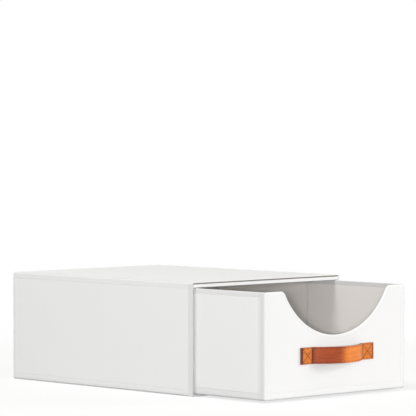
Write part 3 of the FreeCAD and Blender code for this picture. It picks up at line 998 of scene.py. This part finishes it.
@dataclass
class Drawer(Assembly):
    """The drawer: covers turned over its free edges as hems, linings, and the loose base."""

    fold_radius: float = 3 * MM
    hem_drop: float = 7 * MM
    hem_band: float = 9 * MM
    hem_seam: float = 5 * MM
    seam_inset: float = 10 * MM
    end_seam_deep: float = 0.18 * MM
    side_seam_inset: float = 8 * MM
    roll_faces: int = 6
    scoop_faces: int = 64
    corner_faces: int = 12
    wall_rows: int = 14
    lining_rows: int = 10
    lining_drop: float = 6 * MM
    lining_face: float = 0.25 * MM
    seam_clear: float = 2 * MM
    waviness: float = 0.14 * MM
    wave_length: float = 50 * MM
    side_seed: float = 3.7
    end_seed: float = 5.3
    inner_share: float = 0.8
    band_double: float = 0.3
    joint_double: float = 0.5
    joint_fade: float = 1.5 * MM
    wrap_double: float = 0.45
    corner_double: float = 0.25
    corner_fade: float = 4 * MM

    def edge_profile(self, start: Vector, rise: float) -> Sweep:
        """The line over a wall's free edge, with the hem's seam pressed in.

        Args:
            start: Where the line starts, on the outer face of the left wall.
            rise: How far it is from there to the free edge.

        Returns:
            The sweep that drew the line.
        """
        roll, half, deep = self.measures.wall / 2, self.measures.seam_wide / 2, X * self.end_seam_deep
        sweep = Sweep.from_point(start)
        sweep.go(Z * (rise - self.hem_seam - half)).go(Z * half + deep).go(Z * half - deep)
        sweep.go(Z * (self.hem_seam - half - roll))
        sweep.turn(start + Z * (rise - roll) + X * roll, Y, 180, self.roll_faces)
        return sweep.go(-Z * (self.hem_drop - roll))

    def side_cover(self, hand: Hand) -> None:
        """Makes a side cover, from under the drawer up over the free edge.

        Args:
            hand: Which side it is. The right one is made as a left one and mirrored.
        """
        size, name = self.measures, f"drawer_{hand.word}_cover"
        low, high, radius, roll = size.drawer_low, size.drawer_high, self.fold_radius, size.wall / 2
        start = Vector((low.x + radius, size.wrap_front, low.z))
        foot = Vector((low.x, size.wrap_front, low.z + radius))
        tall, length = high.z - roll - foot.z, size.wrap_back - size.wrap_front
        sweep = Sweep.from_point(start).turn(start + Z * radius, Y, 90, self.roll_faces)
        sweep.go(Z * tall, round(tall / size.grid))
        sweep.turn(foot + Z * tall + X * roll, Y, 180, self.roll_faces)
        sweep.go(-Z * (self.hem_drop - roll)).broadside().go(Y * length, round(length / size.grid))
        mesh = sweep.mesh
        near, far = size.wrap_front + self.side_seam_inset, size.wrap_back - self.side_seam_inset
        bottom, top = low.z + self.seam_inset, high.z - self.hem_drop - size.seam_wide / 2

        def seam(first: tuple[float, float], second: tuple[float, float]) -> Seam:
            """A seam on the outer face, between two places along Y and Z."""
            return Seam(Vector((low.x, *first)), Vector((low.x, *second)), -X)
        seams = [seam((size.wrap_front, top), (size.wrap_back, top)), seam((near, bottom), (far, bottom)),
                 seam((near, bottom), (near, top)), seam((far, bottom), (far, top))]
        crease = seam((size.drawer_middle, bottom), (size.drawer_middle, top))
        self.press_seams(mesh, [*seams, crease])
        face_outwards(mesh, Vector((0, size.drawer_middle, high.z / 2)))
        ruffle(mesh, self.waviness, self.wave_length, self.side_seed * hand.value)

        def double(point: Vector) -> float:
            """How dark the cloth is drawn: inside, where the hem lies in two layers; in bands; painted shade
            at the joints.
            """
            if point.x > low.x + size.wall * self.inner_share and point.z > low.z + radius:
                return 1.0
            bands = max(point.z - top, bottom - point.z) / MM + 0.5
            # Painted shade along the joints at the front and back edges.
            joint = 1 - min(point.y - size.wrap_front, size.wrap_back - point.y) / self.joint_fade
            return max(self.band_double * min(1.0, max(0.0, bands)), self.joint_double * joint)
        mark_double(mesh, double)
        map_threads(mesh)
        if hand is Hand.RIGHT:
            bmesh.ops.scale(mesh, vec=(-1, 1, 1), verts=mesh.verts[:])
            bmesh.ops.reverse_faces(mesh, faces=mesh.faces[:])
        threads = bmesh.new()
        COVER_STITCHES.sew(threads, [line.mirrored(hand) for line in seams], size.seam_deep * self.seam_sink)
        self.cover_piece(name, mesh, threads, (length, high.z - low.z + self.hem_drop + size.wall))

    def go_straight(self, sweep: Sweep, low: float, high: float) -> None:
        """Carries a profile straight along X, with stops across the upright seams.

        Args:
            sweep: The sweep, which stands at the first place.
            low, high: The first and the last place.
        """
        size = self.measures
        side, half = size.drawer_high.x - self.seam_inset, size.seam_wide / 2
        seams = [sign * side + shift for sign in (-1, 1) for shift in (-half, 0, half)]
        stops = seams + [place for place in spread(low, high, size.grid)
                         if min(abs(place - seam) for seam in seams) > self.seam_clear]
        for place in sorted(place for place in [*stops, high] if low < place <= high):
            sweep.go(X * (place - low))
            low = place

    def follow_free_edge(self, sweep: Sweep, end: End, straight_end: float) -> None:
        """Carries a profile across an end wall, along its free edge, from the left to the right.

        Args:
            sweep: The sweep, which stands at the left end of the straight stretch.
            end: Which end of the drawer it is: only the front has the scoop.
            straight_end: How far from the middle the straight stretches begin and end.
        """
        size = self.measures
        if end is End.BACK:
            self.go_straight(sweep, -straight_end, straight_end)
            return
        rise = size.scoop_radius - size.scoop_drop + size.scoop_round
        reach = size.scoop_radius + size.scoop_round
        round_x, round_z = math.sqrt(reach ** 2 - rise ** 2), size.drawer_high.z - size.scoop_round
        slope = math.degrees(math.acos(rise / reach))
        self.go_straight(sweep, -straight_end, -round_x)
        sweep.turn(Vector((-round_x, 0, round_z)), Y, slope, self.corner_faces)
        sweep.turn(Vector((0, 0, round_z + rise)), Y, -2 * slope, self.scoop_faces)
        sweep.turn(Vector((round_x, 0, round_z)), Y, slope, self.corner_faces)
        self.go_straight(sweep, round_x, straight_end)

    @staticmethod
    def draw_down(mesh: BMesh, border: list, height: float, rows: int = 1) -> list:
        """Draws a sheet's border straight down to one height.

        Args:
            mesh: The sheet.
            border: The border's edges.
            height: Where the new border lies.
            rows: How many rows of faces the new stretch has.

        Returns:
            The new border's edges.
        """
        made = bmesh.ops.extrude_edge_only(mesh, edges=border)["geom"]
        foot = set(only(BMVert, made))
        bmesh.ops.scale(mesh, vec=(1, 1, 0), space=Matrix.Translation(-Z * height), verts=list(foot))
        if rows > 1:
            uprights = [edge for vertex in foot for edge in vertex.link_edges
                        if edge.other_vert(vertex) not in foot]
            bmesh.ops.subdivide_edges(mesh, edges=uprights, cuts=rows - 1, use_grid_fill=True)
        return only(BMEdge, made)

    def fold_under(self, mesh: BMesh, chain: list) -> None:
        """Folds a sheet's lower edge round the drawer's bottom edge.

        Args:
            mesh: The sheet.
            chain: The edges along its lower border.
        """
        size, radius = self.measures, self.fold_radius
        low, high = size.drawer_low, size.drawer_high

        def key(point: Vector) -> tuple[float, float]:
            """A point's place seen from above, rounded."""
            return round(point.x, 6), round(point.y, 6)
        start = {}
        for step in range(1, self.roll_faces + 1):
            angle = math.pi / 2 * step / self.roll_faces
            made = bmesh.ops.extrude_edge_only(mesh, edges=chain)["geom"]
            chain = only(BMEdge, made)
            for vertex in only(BMVert, made):
                first = start.get(key(vertex.co), Vector((vertex.co.x, vertex.co.y, low.z + radius)))
                centre = Vector((max(low.x + radius, min(high.x - radius, first.x)),
                                 max(low.y + radius, min(high.y - radius, first.y)), low.z + radius))
                vertex.co = centre + (first - centre) * math.cos(angle) - Z * radius * math.sin(angle)
                start[key(vertex.co)] = first
        front = [edge for edge in chain if all(vertex.co.y < low.y + radius + NEAR for vertex in edge.verts)
                 and edge.calc_length() > NEAR]
        made = bmesh.ops.extrude_edge_only(mesh, edges=front)["geom"]
        bmesh.ops.translate(mesh, vec=Y * (size.wrap_front - low.y - radius), verts=only(BMVert, made))
        bmesh.ops.remove_doubles(mesh, verts=mesh.verts[:], dist=NEAR / 5)

    def turn_round(self, end: End, *meshes: BMesh) -> None:
        """Turns meshes round to the back of the drawer, where the end is the back.

        Args:
            end: Which end they are for.
            meshes: What was made as at the front.
        """
        for mesh in meshes if end is End.BACK else ():
            bmesh.ops.rotate(mesh, cent=Y * self.measures.drawer_middle,
                             matrix=Matrix.Rotation(math.pi, 3, "Z"), verts=mesh.verts[:])

    def end_cover(self, end: End) -> None:
        """Makes the cover of the front or the back: it wraps onto the sides and over the free edge.

        Args:
            end: Which end of the drawer it is. The back is made as a front and turned round.
        """
        size = self.measures
        low, high, radius = size.drawer_low, size.drawer_high, self.fold_radius
        top, bottom, side = high.z - self.hem_band, low.z + self.seam_inset, high.x - self.seam_inset
        wrap, half = size.wrap_front - low.y - radius, size.seam_wide / 2
        sweep = self.edge_profile(Vector((low.x, size.wrap_front, top)), self.hem_band)
        sweep.broadside().go(-Y * wrap, 2)
        sweep.turn(Vector((low.x + radius, low.y + radius, 0)), Z, 90, self.roll_faces)
        self.follow_free_edge(sweep, end, high.x - radius)
        sweep.turn(Vector((high.x - radius, low.y + radius, 0)), Z, 90, self.roll_faces)
        sweep.go(Y * wrap, 2)
        mesh = sweep.mesh
        bmesh.ops.remove_doubles(mesh, verts=mesh.verts[:], dist=NEAR / 5)

        def outside(vertex: BMVert) -> bool:
            """Whether a point lies on the outer face."""
            return (abs(vertex.co.x) > high.x - radius / 2 or vertex.co.y < low.y + radius / 2
                    or (abs(vertex.co.x) > high.x - radius and vertex.co.y < low.y + radius
                        and vertex.co.z < high.z - self.hem_drop - NEAR))
        chain = [edge for edge in mesh.edges if edge.is_boundary and all(map(outside, edge.verts))
                 and any(vertex.co.y < size.wrap_front - NEAR for vertex in edge.verts)]
        for height, rows in ((bottom + half, self.wall_rows), (bottom, 1), (bottom - half, 1),
                             (low.z + radius, 1)):
            chain = self.draw_down(mesh, chain, height, rows)
        self.fold_under(mesh, chain)
        left, right = (Vector((place, low.y, bottom)) for place in (-side, side))
        seams = [Seam(left, right, -Y)] + [Seam(foot, Vector((foot.x, low.y, top)), -Y)
                                           for foot in (left, right)]
        for seam in seams:
            seam.press(mesh, self.end_seam_deep)
        face_outwards(mesh, Vector((0, size.drawer_middle, high.z / 2)))
        ruffle(mesh, self.waviness, self.wave_length, self.end_seed * end.value)

        def double(point: Vector) -> float:
            """How dark the cloth is drawn: the hem in two layers, the wraps, and painted shade on the front
            by the corners.
            """
            inner = size.wall * self.inner_share
            if point.y > low.y + inner and abs(point.x) < high.x - inner:
                return 1.0
            # Painted shade on the front beside each corner, fading out over corner_fade; the wraps on the
            # sides are drawn darker.
            turned = (abs(point.x) - high.x) / self.corner_fade + 1
            return self.wrap_double if point.y > low.y + radius / 2 else self.corner_double * turned
        mark_double(mesh, double)
        threads = bmesh.new()
        sink = COVER_STITCHES.thick * self.thread_sink
        COVER_STITCHES.sew(threads, seams, sink)
        line = Sweep.from_point(Vector((radius - high.x, low.y, high.z - self.hem_seam)))
        self.follow_free_edge(line, end, high.x - radius)
        COVER_STITCHES.chain(threads, [vertex.co.copy() for vertex in line.mesh.verts], -Y, sink)
        line.mesh.free()
        self.turn_round(end, mesh, threads)
        map_threads(mesh)
        self.cover_piece(f"drawer_{end.word}_cover", mesh, threads,
                         (2 * (high.x + size.cover_wrap),
                          high.z - low.z + self.hem_drop + size.wall + size.cover_wrap))

    def end_lining(self, end: End) -> None:
        """Makes the lining of the front or the back, cut out along the free edge.

        Args:
            end: Which end of the drawer it is.
        """
        size, name = self.measures, f"drawer_{end.word}_lining"
        low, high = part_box("drawer_front_lining")
        top = size.drawer_high.z - self.lining_drop
        sweep = Sweep.from_point(Vector((low.x, high.y - self.lining_face, top)))
        self.follow_free_edge(sweep, end, high.x)
        mesh = sweep.mesh
        self.draw_down(mesh, mesh.edges[:], low.z, self.lining_rows)
        face_outwards(mesh, Vector((0, size.drawer_low.y, size.drawer_high.z / 2)))
        self.turn_round(end, mesh)
        map_threads(mesh)
        Piece(name + "_felt", mesh, [self.finishes.lining], self.body, Slot.LINING, name, high.y - low.y,
              cut=(high.x - low.x, top - low.z)).finish()

    def side_lining(self, hand: Hand) -> None:
        """Makes the lining of a side, with the crease where its boards fold.

        Args:
            hand: Which side it is.
        """
        middle, name = self.measures.drawer_middle, f"drawer_{hand.word}_lining"
        low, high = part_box(name)
        face_x = high.x if hand is Hand.LEFT else low.x
        ends = (Vector((face_x, middle, height)) for height in (low.z, high.z))
        self.flat_sheet(name, Seam(*ends, -X * hand.value))

    def build(self) -> None:
        """Makes every piece of the drawer but the strap."""
        for hand in Hand:
            self.side_cover(hand)
        for end in End:
            self.end_cover(end)
        self.flat_sheet("drawer_bottom_cover")
        for hand in Hand:
            self.side_lining(hand)
        for end in End:
            self.end_lining(end)
        self.flat_sheet("drawer_base_lining")


@dataclass
class PullStrap(Assembly):
    """The leather pull strap: two plies, flat sewn tabs and a bow between them."""

    tab: float = 22 * MM
    foot_radius: float = 10 * MM
    margin: float = 1.9 * MM
    corner: float = 0.35 * MM
    corner_faces: int = 3
    groove: float = 0.22 * MM
    groove_wide: float = 1.1 * MM
    section_step: float = 5 * MM
    tab_faces: int = 4
    foot_faces: int = 10
    bow_faces: int = 36
    edge_softening: float = 0.15 * MM
    edge_tilt: float = 0.5
    tip_tilt: float = 0.9
    row_sink: float = 0.55
    tab_inset: float = 1.5
    tab_overrun: float = 0.6
    stitches: Stitches = Stitches(pitch=7.5 * MM, length=5.4 * MM, thick=1.0 * MM, detail=2)
    tab_stitches: Stitches = Stitches(pitch=3.2 * MM, length=3.5 * MM, thick=0.95 * MM, detail=2)

    def __post_init__(self) -> None:
        """Works out the bow from the plies' boxes."""
        inner_low, inner_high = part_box("handle_inner_ply")
        outer_low, outer_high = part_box("handle_outer_ply")
        self.face, self.half = inner_high.y, outer_high.x
        self.bottom, self.top = outer_low.z, outer_high.z
        self.rows = (self.bottom + self.margin, self.top - self.margin)
        self.inner_thick = inner_high.y - outer_high.y
        self.out = self.inner_thick + (inner_low.y - outer_low.y)
        self.bow_half = self.half - self.tab
        self.angle = 2 * math.atan((self.face - inner_low.y - self.inner_thick) / self.bow_half)
        self.bow_radius = self.bow_half / math.sin(self.angle) - self.foot_radius
        self.foot_y = self.face - self.foot_radius
        self.bow_y = self.foot_y + (self.foot_radius + self.bow_radius) * math.cos(self.angle)

    def section(self, near: float, far: float, grooved: bool) -> Sweep:
        """The cross-section of a ply at the strap's left end.

        Args:
            near, far: How far the ply's two faces stand from the drawer's front.
            grooved: Whether the outer face has the pressed stitch lines.

        Returns:
            A sweep whose moving edge is the closed section.
        """
        mesh = bmesh.new()
        front, back = self.face - far, self.face - near
        corners = [mesh.verts.new((-self.half, *place)) for place in
                   ((front, self.bottom), (back, self.bottom), (back, self.top), (front, self.top))]
        mesh.faces.new(corners)
        bevel(mesh, corners, self.corner, self.corner_faces, "VERTICES")
        if grooved:
            cut_at(mesh, Z, [row + shift for row in self.rows
                             for shift in (-self.groove_wide / 2, 0, self.groove_wide / 2)])
            for vertex in mesh.verts:
                if vertex.co.y < front + NEAR and min(abs(vertex.co.z - row) for row in self.rows) < NEAR:
                    vertex.co.y += self.groove
        cut_at(mesh, Z, spread(self.bottom, self.top, self.section_step))
        bmesh.ops.dissolve_edges(mesh, edges=[edge for edge in mesh.edges if not edge.is_boundary],
                                 use_verts=False)
        bmesh.ops.delete(mesh, geom=mesh.faces[:], context="FACES_ONLY")
        return Sweep(mesh)

    def ply(self, name: str, near: float, far: float, hide: Material) -> None:
        """Makes one ply.

        Args:
            name: The ply's node.
            near, far: How far its faces stand from the drawer's front.
            hide: Its finish. The one with painted shade and highlight on its outer face has the pressed
                stitch lines.
        """
        degrees = math.degrees(self.angle)
        sweep = self.section(near, far, hide is self.finishes.leather).go(X * self.tab, self.tab_faces)
        sweep.turn(Vector((-self.bow_half, self.foot_y, 0)), Z, -degrees, self.foot_faces)
        sweep.turn(Vector((0, self.bow_y, 0)), Z, 2 * degrees, self.bow_faces)
        sweep.turn(Vector((self.bow_half, self.foot_y, 0)), Z, -degrees, self.foot_faces)
        mesh = sweep.go(X * self.tab, self.tab_faces).mesh
        bmesh.ops.holes_fill(mesh, edges=[edge for edge in mesh.edges if edge.is_boundary], sides=0)
        bmesh.ops.recalc_face_normals(mesh, faces=mesh.faces[:])
        for face in mesh.faces:
            centre = face.calc_center_median()
            tip = abs(centre.x) > self.half - NEAR and centre.y > self.face - self.out - NEAR
            face.material_index = int(abs(face.normal.z) > self.edge_tilt
                                      or (abs(face.normal.x) > self.tip_tilt and tip))
        Piece(name + "_leather", mesh, [hide, self.finishes.edge], self.body, Slot.STRAP, name,
              softening=self.edge_softening, soft_angle=60).finish()

    def station(self, length: float) -> tuple[Vector, Vector, Vector]:
        """A place on the strap's outer face.

        Args:
            length: How far along the strap's back it is from the middle, to the right.

        Returns:
            The place at height zero, the direction along the strap, and the normal.
        """
        sign, run = (1 if length >= 0 else -1), abs(length)
        bow, foot = self.bow_radius + self.out, self.foot_radius - self.out
        if run < bow * self.angle:
            turned = run / bow
            place = Vector((bow * math.sin(turned), self.bow_y - bow * math.cos(turned), 0))
        elif run < (bow + foot) * self.angle:
            turned = self.angle - (run - bow * self.angle) / foot
            place = Vector((self.bow_half - foot * math.sin(turned),
                            self.foot_y + foot * math.cos(turned), 0))
        else:
            turned = 0.0
            place = Vector((self.bow_half + run - (bow + foot) * self.angle, self.face - self.out, 0))
        place.x *= sign
        across, along = sign * math.sin(turned), math.cos(turned)
        return place, Vector((along, across, 0)), Vector((across, -along, 0))

    def sew_rows(self) -> None:
        """Sews the two long rows."""
        threads = bmesh.new()
        reach = (self.bow_radius + self.foot_radius) * self.angle + self.tab - self.margin
        count = round(2 * reach / self.stitches.pitch)
        for row in self.rows:
            for index in range(count):
                place, along, normal = self.station(-reach + 2 * reach * (index + 0.5) / count)
                sunk = place + Z * row - normal * (self.groove * self.row_sink)
                self.stitches.one(threads, sunk, along, normal)
        self.threads("handle_row", threads, self.finishes.row_thread, Slot.STRAP)

    def sew_tabs(self) -> None:
        """Sews a crossed box on each tab."""
        threads = bmesh.new()
        low, high = self.rows
        for hand in Hand:
            outer = hand.value * (self.half - self.tab_inset * self.margin)
            inner = hand.value * (self.bow_half - self.tab_overrun * self.margin)
            corners = [Vector((place, self.face - self.out, height)) for place, height in
                       ((outer, low), (outer, high), (inner, low), (inner, high))]
            self.tab_stitches.sew(threads, [Seam(corners[first], corners[second], -Y) for first, second in
                                            ((0, 1), (2, 3), (0, 3), (1, 2))], 0.0)
        self.threads("handle_tab", threads, self.finishes.tab_thread, Slot.STRAP)

    def build(self) -> None:
        """Makes the plies and their stitching."""
        self.ply("handle_inner_ply", 0.0, self.inner_thick, self.finishes.backing)
        self.ply("handle_outer_ply", self.inner_thick, self.out, self.finishes.leather)
        self.sew_rows()
        self.sew_tabs()


@dataclass(frozen=True)
class Lamp:
    """A soft lamp: how far it hangs from what it lights, and how bright it makes a facing white surface."""

    name: str
    shift: tuple[float, float, float]
    light: float
    size: tuple[float, float]

    def hang(self, target: Vector) -> None:
        """Hangs the lamp, pointing at its target.

        Args:
            target: What it lights.
        """
        place = target + Vector(self.shift)
        data = bpy.data.lights.new(self.name, "AREA")
        data.shape, data.size, data.size_y = "RECTANGLE", *self.size
        data.energy = self.light * (math.pi * (target - place).length) ** 2
        lamp = bpy.data.objects.new(self.name, data)
        bpy.context.scene.collection.objects.link(lamp)
        lamp.location = place
        lamp.rotation_euler = (target - place).to_track_quat("-Z", "Y").to_euler()


@dataclass
class Studio:
    """A plain pale floor and backdrop, soft lamps, and the camera."""

    focal_pixels: float = 2838.0
    picture_pixels: float = 416.0
    sensor: float = 36.0
    camera_place: tuple[float, float, float] = (-2.9512, -3.1391, 0.4012)
    yaw: float = 43.912
    pitch: float = 1.836
    sky: float = 0.28
    sky_colour: Colour = (1.0, 0.985, 0.94, 1.0)
    floor_size: float = 30.0
    floor_bounce: int = 168
    floor_plain: float = 0.75
    reach: tuple[float, float] = (0.45, 1.1)
    target: tuple[float, float, float] = (0, -0.15, 0.08)
    lamps: tuple[Lamp, ...] = (Lamp("fill_lamp", (-5.73, -5.6, 0.65), 0.3, (1.2, 0.8)),
                               Lamp("low_fill_lamp", (-5.73, -5.6, 0.55), 0.27, (0.6, 0.12)),
                               Lamp("front_lamp", (3.1, -2.6, 1.2), 0.41, (1.6, 1.2)),
                               Lamp("left_lamp", (-1.6, 0.0, 3.0), 0.52, (0.9, 1.6)),
                               Lamp("back_lamp", (1.8, 3.6, 0.5), 0.2, (2.4, 0.9)),
                               Lamp("inside_lamp", (0.9, -4.4, 0.45), 0.14, (1.2, 0.7)))

    @staticmethod
    def plainly_seen(tree: NodeTree) -> NodeSocket:
        """Says whether the camera, a reflection or clear material looks, and not the light.

        Args:
            tree: The node tree that gets the nodes.

        Returns:
            An output that is 1 where one of them looks.
        """
        path = tree.nodes.new("ShaderNodeLightPath")
        seen = path.outputs["Is Camera Ray"]
        for ray in ("Is Glossy Ray", "Is Transmission Ray"):
            either = tree.nodes.new("ShaderNodeMath")
            either.operation = "MAXIMUM"
            tree.links.new(seen, either.inputs[0])
            tree.links.new(path.outputs[ray], either.inputs[1])
            seen = either.outputs[0]
        return seen

    def floor(self) -> None:
        """Lays the floor: it looks white, and it keeps the shadow of what stands on it."""
        mesh = bmesh.new()
        bmesh.ops.create_grid(mesh, x_segments=1, y_segments=1, size=self.floor_size)
        data = bpy.data.meshes.new("floor")
        mesh.to_mesh(data)
        mesh.free()
        board = NodeBoard("pale_floor")
        seen = self.plainly_seen(board.tree)
        dull = tone(self.floor_bounce, self.floor_bounce, self.floor_bounce)
        board.surface(board.blend(seen, dull, WHITE), 0.9, 0.0)
        away = board.add("VectorMath", {0: board.place}, operation="LENGTH").outputs["Value"]
        share = board.math("MULTIPLY", seen, board.ramp(away, *self.reach, self.floor_plain))
        white = board.add("Emission", {"Color": WHITE, "Strength": 1.0})
        choice = board.add("MixShader", {0: share, 1: board.shader.outputs[0], 2: white.outputs[0]})
        board.feed(board.tree.nodes["Material Output"], {"Surface": choice.outputs[0]})
        data.materials.append(board.material)
        floor = bpy.data.objects.new("floor", data)
        bpy.context.scene.collection.objects.link(floor)

    def world(self) -> None:
        """Sets an even white sky, which the camera and reflections see as plain white."""
        world = bpy.data.worlds.new("studio")
        bpy.context.scene.world = world
        world.use_nodes = True
        tree = world.node_tree
        light = tree.nodes["Background"]
        plain = tree.nodes.new("ShaderNodeBackground")
        for sky, strength, colour in ((light, self.sky, self.sky_colour), (plain, 1.0, WHITE)):
            sky.inputs["Color"].default_value = colour
            sky.inputs["Strength"].default_value = strength
        choice = tree.nodes.new("ShaderNodeMixShader")
        for socket, source in enumerate((self.plainly_seen(tree), light.outputs[0], plain.outputs[0])):
            tree.links.new(source, choice.inputs[socket])
        tree.links.new(choice.outputs[0], tree.nodes["World Output"].inputs["Surface"])

    def camera(self) -> None:
        """Sets the camera at the photograph's viewing angle."""
        data = bpy.data.cameras.new("camera")
        data.sensor_width = self.sensor
        data.lens = self.sensor * self.focal_pixels / self.picture_pixels
        data.clip_end = 100
        camera = bpy.data.objects.new("camera", data)
        bpy.context.scene.collection.objects.link(camera)
        camera.location = self.camera_place
        camera.rotation_euler = (math.radians(90 - self.pitch), 0, math.radians(-self.yaw))
        bpy.context.scene.camera = camera

    def build(self) -> None:
        """Sets up the whole studio."""
        self.floor()
        self.world()
        for lamp in self.lamps:
            lamp.hang(Vector(self.target))
        self.camera()
        bpy.context.scene.view_settings.view_transform = "Standard"


def dress_boards(frame: dict, board: Material) -> None:
    """Gives the boards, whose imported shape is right, their finish.

    Args:
        frame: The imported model.
        board: The boards' finish.
    """
    for name, node in frame["nodes"].items():
        if name.endswith("_board"):
            node.data.materials.clear()
            node.data.materials.append(board)
            LOG.info("%s keeps its packed shape", name)


def main() -> None:
    """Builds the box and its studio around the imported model."""
    logging.basicConfig(level=logging.INFO, format="%(message)s")
    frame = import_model()
    finishes = Finishes()
    measures = Measures()
    for assembly in (Sleeve, Drawer, PullStrap):
        assembly(measures, finishes).build()
    dress_boards(frame, finishes.board)
    Studio().build()


if __name__ == "__main__":
    main()
